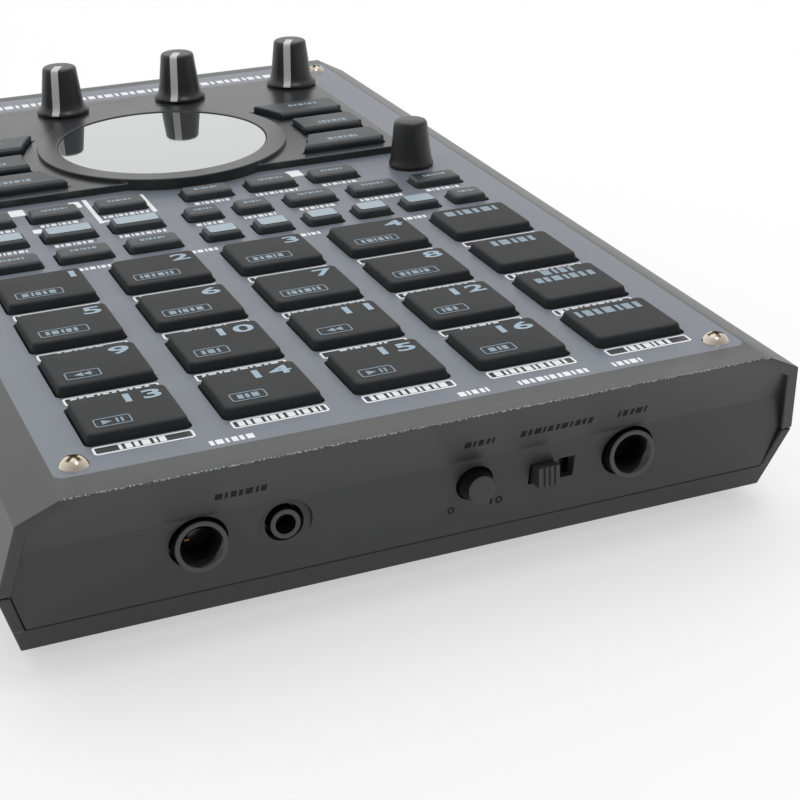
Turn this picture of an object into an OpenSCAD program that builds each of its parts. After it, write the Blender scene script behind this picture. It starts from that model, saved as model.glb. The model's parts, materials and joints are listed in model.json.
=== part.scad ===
// Table-top audio sampler: a wedge-shaped two-part case with a sloping top panel of pads,
// keys and knobs, a round display on a raised deck, and sockets in the front and rear faces.
// Frame: +X to the right, +Y to the rear, +Z up, origin on the table under the middle.
// Most of the top is laid out in a tilted panel frame: x across, y back from the front edge
// and z out of the panel's upper face.

/* [Case] */
// Slope of the top panel in degrees
tilt = 3.4; // [2.4:0.1:4.4]
// Height of the front edge above the underside
front_h = 37.4; // [36:0.1:41]
// Thickness of the case walls
wall = 2.5; // [2:0.1:3]
// Width of the sloping shoulder on each side of the flat top
shoulder_w = 8.8; // [7:0.1:11]
// Drop of the lower edge of the shoulder
shoulder_drop = 4.6; // [3.6:0.1:6]
// Flare of each side between the shoulder and the parting line
side_flare = 4; // [2:0.1:6]
// Depth of the parting line below the panel
parting_drop = 22.5; // [20:0.1:25]
// Inward slope of the lower sides in degrees
lower_draft = 15; // [8:1:18]
// Gap left at the parting line
seam = 0.2; // [0.1:0.05:0.4]
// Height of the rubber feet
foot_h = 3; // [2:0.1:5]
// Radius of the rubber feet
foot_r = 7; // [5:0.1:9]

/* [Front and rear faces] */
// Backward lean of the front rim in degrees from upright
front_lean = 22.3; // [16:0.1:25]
// Forward lean of the rear rim in degrees from upright
rear_lean = 8; // [4:1:12]
// Thickness of the rim round the front and rear faces
rim_t = 2.6; // [2:0.1:3.5]
// Height of the rim above the front and rear faces
rim_top = 2; // [1.5:0.1:3]
// Depth of the crease in the front face below the front edge
crease_drop = 13; // [10:0.1:15]
// Recess of the front face behind its rim at the crease
face_recess = 2.6; // [1.5:0.1:3.5]
// Recess of the rear face behind its rim
rear_recess = 2; // [1:0.1:3]
// Height of the plain band below the front and rear faces
band_h = 5.8; // [4:0.1:7]

/* [Panel] */
// Thickness of the panel plate
panel_t = 2; // [1.5:0.1:3]
// Corner radius of the panel plate
panel_r = 2; // [1:0.1:4]
// Depth of the case strip in front of the panel
strip_front = 8.3; // [7:0.1:11]
// Depth of the case strip behind the panel
strip_rear = 5; // [4:0.1:9]
// Thickness of the ledge that carries the panel
ledge_t = 2.5; // [2:0.1:3.5]
// Width of the case strip beside the panel
strip_side = 0.8; // [0.5:0.1:1.5]
// Gap round the panel in its seat
panel_fit = 0.15; // [0.1:0.05:0.3]
// Distance of the panel screws from the panel's front and side edges
screw_inset = 4.6; // [4:0.1:6]
// Distance of the rear panel screws from the panel's rear edge
screw_inset_rear = 7.4; // [6:0.1:13]

/* [Pads] */
// Width of a pad at its foot
pad_w = 21; // [19:0.1:23]
// Depth of a pad at its foot
pad_d = 18.4; // [17:0.1:21]
// Height of a pad above the panel
pad_h = 2.2; // [1.8:0.1:3]
// Gap between neighbouring pads in a row
pad_gap_x = 6.86; // [6:0.01:8]
// Gap between rows of pads, which holds the printed label boxes
pad_gap_y = 5.74; // [5:0.01:7]
// Corner radius of a pad
pad_r = 1.5; // [1:0.1:2.5]
// Margin between the outer pads and the edge of the flat top
side_margin = 9.5; // [9:0.1:13]
// Margin between the panel's front edge and the first row
pad_front_margin = 10.9; // [9:0.1:14]
// Rows of pads
pad_rows = 4; // [4:1:4]
// Columns of pads, the last one for functions
pad_cols = 5; // [5:1:5]

/* [Small keys] */
// Width of a wide key
key_w = 13.5; // [12:0.1:13.8]
// Width of a narrow key
key_narrow_w = 9.5; // [8.6:0.1:9.9]
// Depth of a key
key_d = 7.8; // [7:0.1:9]
// Height of a key above the panel
key_h = 2; // [1.5:0.1:2.8]
// Corner radius of a key
key_r = 1.2; // [0.8:0.1:1.8]
// Gap between rows of keys
key_gap_y = 8.2; // [7:0.1:10]
// Gap between neighbouring keys of the left block
key_gap_x = 4; // [3.6:0.1:4.6]
// Gap between neighbouring wide keys of the right block
key_wide_gap = 4.5; // [4:0.1:5]
// Gap between neighbouring narrow keys
key_narrow_gap = 4; // [3.6:0.1:4.6]
// Shift of the left block of keys to the right of its pad columns
key_shift = 0.3; // [0:0.1:1]
// Distance of the outer right keys inside the edge of the pad grid
key_inset = 0.3; // [0:0.1:1]
// Gap between the last row of pads and the first row of keys
key_front_gap = 7.3; // [6:0.1:9]
// Travel of pads, keys and buttons
key_travel = 0.9; // [0.6:0.1:1.1]
// Running gap between moving pieces and what they pass
run_gap = 0.35; // [0.3:0.05:0.5]

/* [Display deck] */
// Distance of the deck's sides inside the edges of the pad grid
deck_inset = 3.72; // [1:0.01:6]
// Depth of the deck
deck_d = 82.7; // [77:0.1:86]
// Height of the deck above the panel
deck_h = 2; // [1.9:0.1:3.2]
// Thickness of the deck's roof
deck_t = 1.5; // [1.2:0.1:1.8]
// Corner radius of the deck
deck_r = 4; // [3:0.1:6]
// Gap between the last row of keys and the deck
deck_front_gap = 8.6; // [8:0.1:12]
// Gap between the deck and the rear edge of the panel
deck_rear_gap = 19; // [17:0.1:24]
// Radius of the display ring
ring_r = 35.4; // [34.5:0.1:36.5]
// Height of the display ring above the panel
ring_h = 3.1; // [2.9:0.1:4]
// Radius of the display window
lens_r = 29.6; // [27:0.1:31]
// Thickness of the display window
lens_t = 1.2; // [0.8:0.1:1.4]
// Overhang of the display ring in front of the deck
ring_overhang = 5.1; // [4:0.1:7]

/* [Effect buttons] */
// Distance from the display ring to the arc that the inner ends of the effect buttons follow
effect_ring_gap = 5.1; // [4:0.1:6.5]
// Depth of an effect button
effect_d = 11; // [9:0.1:12]
// Gap between neighbouring effect buttons
effect_gap = 6; // [5:0.1:7]
// Margin between the effect buttons and the deck's side and front edges
effect_margin = 4.2; // [3:0.1:5]
// Corner radius of the outer ends of the effect buttons
effect_r = 1.5; // [1:0.1:2.5]
// Height of an effect button above the deck
effect_h = 2; // [1.5:0.1:2.6]

/* [Knobs] */
// Distance of the outer control knobs from the sides of the deck
knob_side_inset = 7.3; // [6.6:0.1:10]
// Distance of the control knobs from the rear edge of the deck
knob_rear_inset = 7.7; // [7.3:0.1:10]
// Radius of a control knob's skirt
knob_skirt_r = 7.8; // [7:0.1:8.4]
// Radius of a control knob above its skirt
knob_base_r = 6.2; // [5.8:0.1:6.5]
// Radius of a control knob at its top
knob_top_r = 5; // [4.6:0.1:5.7]
// Height of a control knob
knob_h = 13.7; // [12:0.1:16]
// Width of a control knob's pointer groove
pointer_w = 2.2; // [1.6:0.1:2.6]
// Depth of a control knob's pointer groove
pointer_t = 0.4; // [0.3:0.05:0.6]
// Pointer's angle at rest, counted clockwise from the front in degrees
pointer_rest = 30; // [0:1:60]
// Distance of the value knob from the edge of the pad grid
value_inset = 7.1; // [6.6:0.1:8]
// Radius of the value knob at its foot
value_base_r = 6.2; // [5.4:0.1:6.8]
// Radius of the value knob at its top
value_top_r = 4.5; // [4.2:0.1:5]
// Height of the value knob
value_h = 12.5; // [10:0.1:15]
// Radius of the knob shafts
shaft_r = 3; // [2.5:0.1:3.2]
// Radial running clearance of the knob shafts
shaft_fit = 0.08; // [0.05:0.01:0.1]
// Gap under the knobs
knob_gap = 0.5; // [0.3:0.1:1]
// Radius of the gain knob at its foot
gain_base_r = 3.7; // [3.4:0.1:4.2]
// Radius of the gain knob at its end
gain_end_r = 3.2; // [2.8:0.1:3.4]
// Length of the gain knob that stands out of the front face
gain_out = 4; // [3:0.1:6]

/* [Sockets] */
// Height of the front socket axes above the underside
jack_h = 18.2; // [17:0.1:19.5]
// Height of the rear socket axes above the underside
rear_jack_h = 21; // [18:0.1:24]
// Radius of a quarter-inch jack's bore
jack_bore_r = 3.25; // [3.2:0.01:3.4]
// Radius of a quarter-inch jack's sleeve
jack_sleeve_r = 5.45; // [5.2:0.05:5.9]
// Radius of a mini jack's bore
mini_bore_r = 1.82; // [1.78:0.01:1.9]
// Radius of a mini jack's sleeve
mini_sleeve_r = 3.8; // [3.4:0.1:4.2]
// Gap between a jack's sleeve and its hole in the case
jack_gap = 0.7; // [0.4:0.05:0.9]
// Amount that the jack sleeves stand out of the face at their axis
jack_out = 0.9; // [0.4:0.1:1.2]
// Radius of the shallow dish round the front mini jack
mini_dish_r = 5.8; // [5.2:0.1:6.2]
// Width of a slide switch's slot
slot_w = 10.6; // [10:0.1:11.4]
// Height of a slide switch's slot
slot_h = 5.2; // [5:0.1:6]
// Width of a slide switch's tab
tab_w = 4.9; // [4.4:0.1:5.1]
// Amount that a switch tab stands out of its face
tab_out = 3; // [2:0.1:4]
// Travel of a slide switch
tab_travel = 4; // [3:0.1:4]

/* [Inside] */
// Thickness of the circuit boards
board_t = 1.6; // [1.2:0.1:2]
// Gap between the panel ledge and the panel board
board_gap = 2.1; // [2:0.1:3]
// Length of the battery bay
bay_w = 110; // [106:1:120]
// Width of the battery bay
bay_d = 47; // [45:1:52]
// Depth of the battery bay
bay_h = 17.5; // [17.4:0.1:20]
// Thickness of the walls of the battery bay
bay_wall = 1.8; // [1.5:0.1:2.4]

/* [Underside] */
// Distance of the feet from the middle plane
foot_x = 64; // [58:0.5:66]
// Distance of the front feet from the front edge of the underside
foot_front = 16; // [12:0.5:20]
// Distance of the rear feet from the rear edge of the underside
foot_rear = 18; // [12:0.5:22]
// Distance of the case screws inside the widest part of the case
case_screw_inset = 13; // [12:0.1:14]
// Distance of the front case screws from the front edge of the underside
case_screw_front = 28; // [26:0.5:34]
// Distance of the middle case screws behind the middle of the case
case_screw_mid = 8; // [0:0.5:16]
// Distance of the rear case screws from the rear edge of the underside
case_screw_rear = 38; // [34:0.5:44]
// Thickness of the battery door
door_t = 2.4; // [2.2:0.1:2.6]
// Gap round the battery door
door_gap = 0.4; // [0.3:0.05:0.6]
// Width of the ledge that the battery door closes against
door_lap = 3; // [2.5:0.1:4]
// Length of the battery door's pivot pins
pin_l = 1.6; // [1.2:0.1:1.8]

/* [Hidden] */
$fn = 48;

// Lengths for cuts that only have to pass through, and the overlap of joined solids
far = 400;
over = 20;
lap = 1;

// The layout across the panel
col_pitch = pad_w + pad_gap_x;
row_pitch = pad_d + pad_gap_y;
grid_half = (pad_cols - 1) / 2 * col_pitch + pad_w / 2;
top_half = grid_half + side_margin;
shoulder_half = top_half + shoulder_w;
part_half = shoulder_half + side_flare;

// The layout up the panel, from the front edge to the rear
panel_y0 = strip_front;
pads_y0 = panel_y0 + pad_front_margin;
pads_y1 = pads_y0 + (pad_rows - 1) * row_pitch + pad_d;
keys_y0 = pads_y1 + key_front_gap;
key_rows = 3;
key_pitch_y = key_d + key_gap_y;
keys_y1 = keys_y0 + (key_rows - 1) * key_pitch_y + key_d;
deck_y0 = keys_y1 + deck_front_gap;
deck_y1 = deck_y0 + deck_d;
panel_y1 = deck_y1 + deck_rear_gap;
top_len = panel_y1 + strip_rear;
ring_y = deck_y0 + ring_r - ring_overhang;

// The case in side view
body_d = top_len * cos(tilt);
front_y = -body_d / 2;
rear_y = body_d / 2;
under_z = foot_h;
nose_z = under_z + front_h;
tail_z = nose_z + top_len * sin(tilt);
function front_rim_y(z) = front_y + (nose_z - z) * tan(front_lean);
function rear_rim_y(z) = rear_y - (tail_z - z) * tan(rear_lean);

// The front face: down from the rim to a crease, then less steeply to the bottom band
band_z = under_z + band_h;
face_top = [front_rim_y(nose_z - rim_top), nose_z - rim_top];
face_crease = [front_rim_y(nose_z - crease_drop) + face_recess, nose_z - crease_drop];
face_foot = [front_rim_y(band_z), band_z];
face_slope = (face_foot[0] - face_crease[0]) / (face_crease[1] - face_foot[1]);
function face_y(z) = face_crease[0] + (face_crease[1] - z) * face_slope;
wall_y = wall / cos(atan(face_slope));
function face_in_y(z) = face_y(z) + wall_y;
function rear_face_y(z) = rear_rim_y(z) - rear_recess;
function rear_in_y(z) = rear_face_y(z) - wall;

// The case in front view, as sections across the panel's length
section_drop = 75;
foot_half = part_half - (section_drop - parting_drop) * tan(lower_draft);
case_section = [
    [-foot_half, -section_drop], [foot_half, -section_drop],
    [part_half, -parting_drop], [shoulder_half, -shoulder_drop], [top_half, 0],
    [-top_half, 0], [-shoulder_half, -shoulder_drop], [-part_half, -parting_drop]];
roof_z = -(panel_t + ledge_t);
board_z = roof_z - board_gap;
floor_z = under_z + wall;

// The panel plate and its screws
panel_half = top_half - strip_side;
panel_len = panel_y1 - panel_y0;
flange_w = 1;
flange_t = 1.2;
window_half = grid_half + flange_w + run_gap;
window_y0 = pads_y0 - flange_w - run_gap;
window_y1 = deck_y1 + run_gap;
screw_x = panel_half - screw_inset;
screw_y0 = panel_y0 + screw_inset;
screw_y1 = panel_y1 - screw_inset_rear;
screw_r = 1.4;
screw_fit = 0.1;
screw_head_r = 3;
screw_head_h = 1.8;
screw_short = 0.5;
boss_r = 4;
board_half = screw_x + screw_r;

// Cross recess of a screw, as shares of its head's radius and height
recess_reach = 0.6;
recess_width = 0.3;
recess_floor = 0.45;

// Pads, keys and their contact stems
stem_r = 2.6;
stem_z = board_z + key_travel + run_gap;
pad_taper = 0.4;
edge_cut = 0.5;

// Small keys: a block over the first two pad columns and one over the other three
left_mid = (pad_cols - 2) / 2 * -col_pitch + key_shift;
key_pitch_x = key_w + key_gap_x;
narrow_pitch = key_narrow_w + key_narrow_gap;
right_edge = grid_half - key_inset;
wide_last = right_edge - key_w / 2;
narrow_last = right_edge - key_narrow_w / 2;
middle_first = -0.4;
wide_pitch = key_w + key_wide_gap;
value_x = grid_half - value_inset;
value_y = keys_y1 - key_d / 2;

// The deck's hollow, its lens seat and the places of its buttons and knobs
deck_lip = 1.2;
deck_skirt = 1;
lens_lip = 2;
lens_sink = 0.3;
lens_fit = 0.2;
deck_w = 2 * (grid_half - deck_inset);
deck_in_w = deck_w - 2 * deck_lip;
deck_in_d = deck_d - 2 * deck_lip;
deck_mid_y = (deck_y0 + deck_y1) / 2;
deck_roof_in = deck_h - deck_t;
lens_z = ring_h - lens_sink - lens_t;
effect_pitch = effect_d + effect_gap;
effect_x1 = deck_w / 2 - effect_margin;
effect_mid_y = deck_y0 + effect_margin + effect_d / 2 + effect_pitch;
effect_arc_r = ring_r + effect_ring_gap;
effect_flange = 0.5;
effect_edge = 0.85;
effect_stem_x = (effect_x1 + effect_arc_r) / 2;
module_w = 46;
module_d = 27;
module_gap = 0.4;
knob_y = deck_y1 - knob_rear_inset;
control_knobs = 4;
knob_pitch = (deck_w - 2 * knob_side_inset) / (control_knobs - 1);
control_x = [for (i = [0:control_knobs - 1]) i * knob_pitch + knob_side_inset - deck_w / 2];

// Potentiometers under the knobs
pot_w = 10;
pot_h = 3.4;
pot_floor = 0.5;
end_gap = 0.5;
bushing_t = 0.7;
bushing_r = shaft_r + bushing_t;
bushing_fit = 0.3;
shaft_in = pot_h - pot_floor - end_gap;
gain_pot_l = 8;
gain_shaft_in = gain_pot_l - pot_floor - end_gap;

// Edges of the knobs
knob_edge = 0.8;
knob_lip_h = 0.8;
knob_skirt_h = 2.2;
gain_edge = 0.4;

// Sockets on the front face, and what carries them
phones_x = -48.5;
phones_mini_x = -30.5;
gain_x = 11;
switch_x = 29;
input_x = 47;
jack_z = under_z + jack_h;
jack_body_w = 14.6;
jack_body_l = 24;
jack_axis_up = 6.4;
jack_body_h = 12.6;
jack_lip = 1;
jack_mouth_r = jack_sleeve_r - jack_lip;
jack_mouth_l = 1.6;
jack_depth = 20;
mini_body_w = 9;
mini_body_l = 13;
mini_depth = 11;
mini_dish_t = 0.7;
mini_mouth_r = mini_bore_r + 0.7;
mini_body_h = jack_axis_up + mini_sleeve_r + 0.5;
board_edge = 1;
front_board_z = jack_z - jack_axis_up;
front_board_y0 = face_in_y(front_board_z) + board_edge;
front_board_d = 30;
front_board_w = 2 * (jack_body_w / 2 - phones_x + board_edge);
gain_shaft_r = 2;
gain_gap = 0.5;
body_gap = 2.1;
switch_drop = 0.9;
switch_z = jack_z - switch_drop;
tab_h = slot_h - 2 * run_gap;
tab_rib_w = 0.6;
tab_rib_t = 0.4;
switch_side = 1;
switch_body_w = slot_w + 2 * switch_side;
switch_body_h = 2 * jack_axis_up - 2;
switch_body_d = 6;

// Sockets on the rear face, seen from above from left to right
rear_z = under_z + rear_jack_h;
rear_jacks_x = [-62, -44.5, -27, -9.5];
rear_minis_x = [6, 18];
usb_x = 33;
dc_x = 47;
power_x = 62;
main_board_z = rear_z - jack_axis_up;
main_board_w = 2 * (jack_body_w / 2 - rear_jacks_x[0] + board_edge);
main_board_d = 84;
main_board_y1 = rear_in_y(main_board_z) - board_edge;
socket_sink = 0.3;
usb_w = 8.9;
usb_h = 3.2;
usb_l = 7.4;
usb_shell = 0.4;
usb_corner_r = 1.5;
usb_back = 1;
usb_tongue_w = 5.9;
usb_tongue_t = 0.7;
usb_foot_l = usb_l - wall - jack_axis_up * tan(rear_lean) - run_gap;
dc_r = 3.1;
dc_wall = 0.8;
dc_w = 9;
dc_l = 13;
dc_neck_l = wall + body_gap;
dc_depth = 9;
dc_pin_r = 1;

// The underside
foot_y0 = front_rim_y(under_z) + foot_front;
foot_y1 = rear_rim_y(under_z) - foot_rear;
foot_edge = 0.8;
case_screw_x = part_half - case_screw_inset;
case_screws_y = [
    front_rim_y(under_z) + case_screw_front, case_screw_mid, rear_rim_y(under_z) - case_screw_rear];
case_screw_head_r = 2.7;
case_screw_head_h = 1.8;
case_screw_seat_z = under_z + wall + lap;
case_screw_grip = 8;
case_post_r = 3.6;
board_post_r = 3.2;
board_post_inset = 6;
bay_y = -22;
door_w = bay_w + 2 * door_lap;
door_d = bay_d + 2 * door_lap;
hinge_r = door_t / 2;
hinge_y = bay_y - door_d / 2 + hinge_r;
hinge_z = under_z + hinge_r;
pin_r = hinge_r / 2;
pin_fit = 0.1;
latch_w = 16;
latch_pitch = 1.6;
latch_inset = 7;
latch_groove = 0.8;
notch_r = 8;
notch_t = 1.2;
contact_t = 0.5;
contact_w = 9;

// Polygon helpers

// Moves the sides of a convex counterclockwise outline inwards by t
function unit(a, b) = (b - a) / norm(b - a);
function corner_in(a, b, c, t) =
    let (u = unit(a, b), v = unit(b, c))
    b + (v - u) * t / cross(u, v);
function inset(p, t) =
    let (n = len(p))
    [for (i = [0:n - 1]) corner_in(p[(i + n - 1) % n], p[i], p[(i + 1) % n], t)];

// Rectangle about the origin with corners of true radius
module round_rect(w, d, r) {
    square([w - 2 * r, d], center = true);
    square([w, d - 2 * r], center = true);
    for (x = [-1, 1], y = [-1, 1])
        translate([x * (w / 2 - r), y * (d / 2 - r)]) circle(r);
}

// Solids from outlines

// Puts children into the panel frame
module on_panel(x = 0, y = 0, z = 0) {
    translate([0, front_y, nose_z]) rotate([tilt, 0, 0]) translate([x, y, z]) children();
}

// Sweeps a front-view outline along the panel
module along_panel() {
    on_panel(0, top_len + over, 0) rotate([90, 0, 0]) linear_extrude(top_len + 2 * over) children();
}

// Sweeps a side-view outline, given as rear and up, across the part
module along_x(w = far) {
    translate([-w / 2, 0, 0]) rotate([90, 0, 90]) linear_extrude(w) children();
}

// Turns children so that their z points out of the front or the rear
module to_front(x, y, z) {
    translate([x, y, z]) rotate([90, 0, 0]) children();
}
module to_rear(x, y, z) {
    translate([x, y, z]) rotate([-90, 0, 0]) children();
}

// The case's form

// Side view of the whole case, run up past the panel, which the section cuts off
module side_outline() {
    top = tail_z + over;
    polygon([
        [front_rim_y(under_z), under_z], [rear_rim_y(under_z), under_z],
        [rear_rim_y(top), top], [front_rim_y(top), top]]);
}

// Front view inside the rim, from the top of the faces down
module face_outline(t) {
    polygon(inset(case_section, t));
}

// Hollow in front of the front face, and behind the rear face
module front_pocket() {
    intersection() {
        along_panel() face_outline(rim_t);
        along_x() polygon([
            [front_y - over, face_top[1]], [front_y - over, face_foot[1]],
            face_foot, face_crease, face_top]);
    }
}
module rear_pocket() {
    z0 = band_z;
    z1 = tail_z - rim_top;
    intersection() {
        along_panel() face_outline(rim_t);
        along_x() polygon([
            [rear_face_y(z0), z0], [rear_y + over, z0], [rear_y + over, z1], [rear_face_y(z1), z1]]);
    }
}

// Whole outside of the case
module case_form() {
    difference() {
        intersection() {
            along_panel() polygon(case_section);
            along_x() side_outline();
        }
        front_pocket();
        rear_pocket();
    }
}

// Whole inside of the case, below the ledge that carries the panel
module case_hollow() {
    top = tail_z;
    intersection() {
        along_panel() intersection() {
            polygon(inset(case_section, wall));
            translate([-far / 2, roof_z - far]) square(far);
        }
        along_x() polygon([
            [face_in_y(floor_z), floor_z], [rear_in_y(floor_z), floor_z],
            [rear_in_y(top), top], [face_in_y(top), top]]);
    }
}

// All that lies above the parting line, or below it
module above_parting() {
    along_panel() translate([-far / 2, -parting_drop]) square(far);
}
module below_parting() {
    along_panel() translate([-far / 2, -parting_drop - seam - far]) square(far);
}

// The front and rear faces run down past the parting line into the lower case
module face_walls(gap) {
    foot = band_z - gap;
    top = nose_z;
    intersection() {
        along_panel() face_outline(rim_t - gap);
        union() {
            along_x() polygon([
                [face_y(foot) - over, foot], [face_in_y(foot) + lap, foot],
                [face_in_y(top) + lap, top], [face_y(top) - over, top]]);
            along_x() polygon([
                [rear_in_y(foot) - lap, foot], [rear_y + over, foot],
                [rear_y + over, top], [rear_in_y(top) - lap, top]]);
        }
    }
}

// Case

// Posts that take the case screws, as one upright cylinder at each place
module at_case_screws() {
    for (x = [-1, 1], y = case_screws_y) translate([x * case_screw_x, y, 0]) children();
}

module upper_case() color("#3f4042") difference() {
    union() {
        difference() {
            intersection() {
                case_form();
                union() {
                    above_parting();
                    face_walls(0);
                }
            }
            case_hollow();
        }
        intersection() {
            at_case_screws() cylinder(r = case_post_r, h = tail_z);
            along_panel() translate([-far / 2, -parting_drop]) square([far, parting_drop + roof_z + lap]);
        }
        for (x = [-1, 1] * screw_x, y = [screw_y0, screw_y1])
            on_panel(x, y, board_z) cylinder(r = boss_r, h = roof_z - board_z + lap);
    }
    // Seat and window of the panel
    on_panel(0, (panel_y0 + panel_y1) / 2, -panel_t) linear_extrude(over)
        round_rect(2 * (panel_half + panel_fit), panel_len + 2 * panel_fit, panel_r + panel_fit);
    on_panel(-window_half, window_y0, roof_z - lap)
        cube([2 * window_half, window_y1 - window_y0, over]);
    // Holes for the panel screws and the case screws
    for (x = [-1, 1] * screw_x, y = [screw_y0, screw_y1])
        on_panel(x, y, board_z - lap) cylinder(r = screw_r + screw_fit, h = over);
    intersection() {
        at_case_screws() cylinder(r = screw_r + screw_fit, h = tail_z);
        along_panel() translate([-far / 2, roof_z - far]) square(far);
    }
    front_holes();
    rear_holes();
}

module front_holes() {
    y = face_in_y(jack_z) + over;
    to_front(phones_x, y, jack_z) cylinder(r = jack_sleeve_r + jack_gap, h = 2 * over);
    to_front(input_x, y, jack_z) cylinder(r = jack_sleeve_r + jack_gap, h = 2 * over);
    to_front(phones_mini_x, y, jack_z) cylinder(r = mini_sleeve_r + run_gap, h = 2 * over);
    to_front(phones_mini_x, face_y(jack_z) + mini_dish_t, jack_z)
        cylinder(r = mini_dish_r, h = over);
    to_front(gain_x, y, jack_z) cylinder(r = gain_base_r + gain_gap, h = 2 * over);
    to_front(switch_x, y, switch_z) linear_extrude(2 * over) square([slot_w, slot_h], center = true);
}

module rear_holes() {
    y = rear_in_y(rear_z) - over;
    for (x = rear_jacks_x) to_rear(x, y, rear_z) cylinder(r = jack_sleeve_r + jack_gap, h = 2 * over);
    for (x = rear_minis_x) to_rear(x, y, rear_z) cylinder(r = mini_sleeve_r + run_gap, h = 2 * over);
    to_rear(usb_x, y, rear_z) linear_extrude(2 * over)
        round_rect(usb_w + 2 * run_gap, usb_h + 2 * run_gap, usb_h / 2);
    to_rear(dc_x, y, rear_z) cylinder(r = dc_r + dc_wall + run_gap, h = 2 * over);
    to_rear(power_x, y, rear_z) linear_extrude(2 * over) square([slot_w, slot_h], center = true);
}

module lower_case() color("#3a3b3d") difference() {
    union() {
        difference() {
            intersection() {
                case_form();
                below_parting();
            }
            case_hollow();
            face_walls(seam);
        }
        // Battery bay, open below, and the frame round its door
        under_block(bay_w + 2 * bay_wall, bay_d + 2 * bay_wall, bay_h + bay_wall);
        under_block(door_w + 2 * (door_gap + bay_wall), door_d + 2 * (door_gap + bay_wall),
            door_t + door_gap + bay_wall);
        // Posts for the case screws and the boards
        intersection() {
            at_case_screws() translate([0, 0, under_z]) cylinder(r = case_post_r, h = tail_z);
            below_parting();
            case_form();
        }
        board_posts(front_board_w, front_board_y0, front_board_y0 + front_board_d, front_board_z);
        board_posts(main_board_w, main_board_y1 - main_board_d, main_board_y1, main_board_z);
    }
    // Bay, the door's seat with its pivot holes, and a finger notch behind it
    under_block(bay_w, bay_d, bay_h, lap);
    under_block(door_w + 2 * door_gap, door_d + 2 * door_gap, door_t + door_gap, lap);
    translate([0, hinge_y, hinge_z]) along_x(door_w + 2 * (pin_l + end_gap)) circle(pin_r + pin_fit);
    translate([0, bay_y + door_d / 2, under_z - lap]) cylinder(r = notch_r, h = notch_t + lap);
    // Screw holes with sunk heads
    at_case_screws() cylinder(r = screw_r + screw_fit, h = tail_z);
    at_case_screws() cylinder(r = case_screw_head_r + screw_fit, h = case_screw_seat_z);
}

// Block centred on the battery bay, from the underside up, and down by an overlap
module under_block(w, d, h, down = 0) {
    translate([-w / 2, bay_y - d / 2, under_z - down]) cube([w, d, h + down]);
}

// Posts under a board of width w that reaches from y0 to y1
module board_posts(w, y0, y1, z) {
    foot_z = under_z + lap;
    for (x = [-1, 1] * (w / 2 - board_post_inset), y = [y0 + board_post_inset, y1 - board_post_inset])
        translate([x, y, foot_z]) cylinder(r = board_post_r, h = z - board_t - foot_z);
}

// Panel

module top_panel() color("#6f7580") on_panel(0, 0, -panel_t) linear_extrude(panel_t) difference() {
    translate([0, (panel_y0 + panel_y1) / 2]) round_rect(2 * panel_half, panel_len, panel_r);
    for (c = [0:pad_cols - 1], r = [0:pad_rows - 1])
        translate([pad_x(c), pad_y(r)]) round_rect(pad_w + 2 * run_gap, pad_d + 2 * run_gap, pad_r);
    for (r = [1:key_rows], k = concat(left_keys(r), right_keys(r)))
        translate([k[0], key_y(r)]) round_rect(k[1] + 2 * run_gap, key_d + 2 * run_gap, key_r);
    translate([0, deck_mid_y]) round_rect(deck_in_w, deck_in_d, deck_r - deck_lip);
    translate([value_x, value_y]) circle(bushing_r + bushing_fit);
    for (x = [-1, 1] * screw_x, y = [screw_y0, screw_y1]) translate([x, y]) circle(screw_r + screw_fit);
}

// Screw with a domed head and a cross recess, head down to the origin
module pan_screw(head_r, head_h, shank_r, shank_l) {
    slot = head_r * recess_width;
    reach = head_r * recess_reach;
    difference() {
        union() {
            translate([0, 0, -shank_l]) cylinder(r = shank_r, h = shank_l);
            intersection() {
                cylinder(r = head_r, h = head_h);
                dome_r = (head_r * head_r + head_h * head_h) / (2 * head_h);
                translate([0, 0, head_h - dome_r]) sphere(dome_r);
            }
        }
        for (a = [0, 90]) rotate(a)
            translate([-reach, -slot / 2, head_h * recess_floor]) cube([2 * reach, slot, head_h]);
    }
}

module panel_screws() color("#b9ab93") for (x = [-1, 1] * screw_x, y = [screw_y0, screw_y1])
    on_panel(x, y, 0) rotate(x + y)
        pan_screw(screw_head_r, screw_head_h, screw_r, -board_z - screw_short);

// Pads and keys

function pad_x(c) = (c - (pad_cols - 1) / 2) * col_pitch;
function pad_y(r) = pads_y0 + pad_d / 2 + r * row_pitch;
function key_y(r) = keys_y0 + key_d / 2 + (r - 1) * key_pitch_y;

// Small keys of a row, counted from the front, as place and width
function left_keys(r) = [for (i = [-1:1]) [left_mid + i * key_pitch_x, key_w]];
function right_keys(r) =
    r == 1 ? [for (i = [0:5]) [narrow_last - (5 - i) * narrow_pitch, key_narrow_w]] :
    r == 2 ? concat(
        [for (i = [0:1]) [narrow_last - (5 - i) * narrow_pitch, key_narrow_w]],
        [for (i = [0:2]) [wide_last - (2 - i) * wide_pitch, key_w]]) :
    [for (i = [0:2]) [middle_first + i * wide_pitch, key_w]];

// Tapered cap with cut edges, from z0 up to z1, about the origin
module cap(w, d, r, z0, z1, taper) {
    module slope(l) {
        polygon([
            [-l / 2, z0], [l / 2, z0], [l / 2, 0], [l / 2 - taper, z1 - edge_cut],
            [l / 2 - taper - edge_cut, z1], [edge_cut + taper - l / 2, z1],
            [taper - l / 2, z1 - edge_cut], [-l / 2, 0]]);
    }
    intersection() {
        translate([0, d, 0]) rotate([90, 0, 0]) linear_extrude(2 * d) slope(w);
        translate([-w, 0, 0]) rotate([90, 0, 90]) linear_extrude(2 * w) slope(d);
        translate([0, 0, z0]) linear_extrude(z1 - z0) round_rect(w, d, r);
    }
}

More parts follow.
